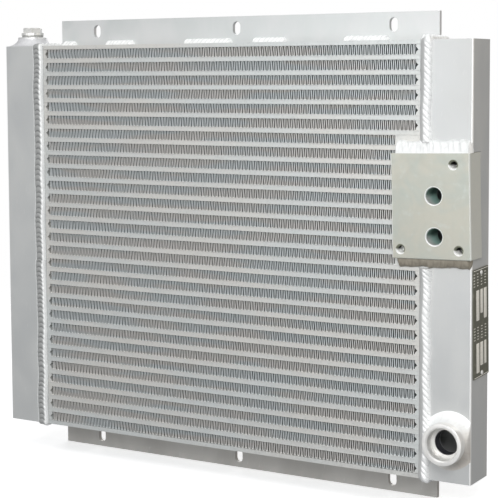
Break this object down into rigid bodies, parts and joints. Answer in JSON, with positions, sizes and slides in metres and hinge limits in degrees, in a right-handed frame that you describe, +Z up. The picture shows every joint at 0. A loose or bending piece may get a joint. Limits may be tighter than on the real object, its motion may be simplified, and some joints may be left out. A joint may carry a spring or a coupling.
{
  "type": "hydraulic oil cooler",
  "caption": "Bar-and-plate hydraulic oil cooler with a finned brazed core between two welded tanks, a manifold block, a threaded port and slotted mounting flanges.",
  "frame": {"origin": "middle of the lower mounting flange's bottom edge, half way between the front of the port boss and the back of the core", "axes": "+X towards the tank with the ports, -Y out of the face that carries the ports, +Z up towards the bleed plug"},
  "size_m": [0.5575, 0.0643, 0.4749],
  "materials": {
    "brazed_aluminium": "brazed, slightly frosted",
    "fin_aluminium": "rolled foil",
    "tank_aluminium": "satin mill finish",
    "weld_aluminium": "bright rippled weld metal",
    "machined_aluminium": "face milled, slightly yellowed",
    "turned_aluminium": "turned",
    "plated_steel": "zinc plated",
    "sealing_washer": "bonded washer",
    "nameplate_paint": "printed dark plate with blank fields"
  },
  "bodies": {
    "cooler": {"air_fin_01": "fin_aluminium", "air_fin_02": "fin_aluminium", "air_fin_03": "fin_aluminium", "air_fin_04": "fin_aluminium", "air_fin_05": "fin_aluminium", "air_fin_06": "fin_aluminium", "air_fin_07": "fin_aluminium", "air_fin_08": "fin_aluminium", "air_fin_09": "fin_aluminium", "air_fin_10": "fin_aluminium", "air_fin_11": "fin_aluminium", "air_fin_12": "fin_aluminium", "air_fin_13": "fin_aluminium", "air_fin_14": "fin_aluminium", "air_fin_15": "fin_aluminium", "air_fin_16": "fin_aluminium", "air_fin_17": "fin_aluminium", "air_fin_18": "fin_aluminium", "air_fin_19": "fin_aluminium", "air_fin_20": "fin_aluminium", "air_fin_21": "fin_aluminium", "air_fin_22": "fin_aluminium", "air_fin_23": "fin_aluminium", "air_fin_24": "fin_aluminium", "air_fin_25": "fin_aluminium", "air_fin_26": "fin_aluminium", "air_fin_27": "fin_aluminium", "air_fin_28": "fin_aluminium", "air_fin_29": "fin_aluminium", "brazed_core_frame": "brazed_aluminium", "side_plate_top": "brazed_aluminium", "side_plate_bottom": "brazed_aluminium", "top_mounting_flange": "brazed_aluminium", "bottom_mounting_flange": "brazed_aluminium", "left_tank": "tank_aluminium", "right_tank": "tank_aluminium", "left_tank_top_cap": "tank_aluminium", "left_tank_bottom_cap": "tank_aluminium", "right_tank_top_cap": "tank_aluminium", "right_tank_bottom_cap": "tank_aluminium", "right_tank_baffle": "tank_aluminium", "left_tank_weld": "weld_aluminium", "right_tank_weld": "weld_aluminium", "manifold_block_top_weld": "weld_aluminium", "manifold_block_bottom_weld": "weld_aluminium", "port_boss_weld": "weld_aluminium", "bleed_boss_weld": "weld_aluminium", "manifold_block": "machined_aluminium", "port_boss": "turned_aluminium", "bleed_boss": "turned_aluminium", "nameplate_top_rivet": "turned_aluminium", "nameplate_bottom_rivet": "turned_aluminium", "nameplate": "nameplate_paint"},
    "washer": {"bleed_washer": "sealing_washer"},
    "plug": {"bleed_plug": "plated_steel"}
  },
  "joints": [
    {"name": "bleed_plug_rise", "type": "slide", "parent": "cooler", "child": "washer", "axis": [0, 0, 1], "range_m": [0, 0.0081]},
    {"name": "bleed_plug_turn", "type": "hinge", "parent": "washer", "child": "plug", "pos_m": [-0.256, 0.0105, 0.4569], "axis": [0, 0, 1], "range_deg": [0, 2160]}
  ],
  "couplings": [
    {"joint": "bleed_plug_rise", "follows": "bleed_plug_turn", "m_per_rad": 0.00021279}
  ]
}
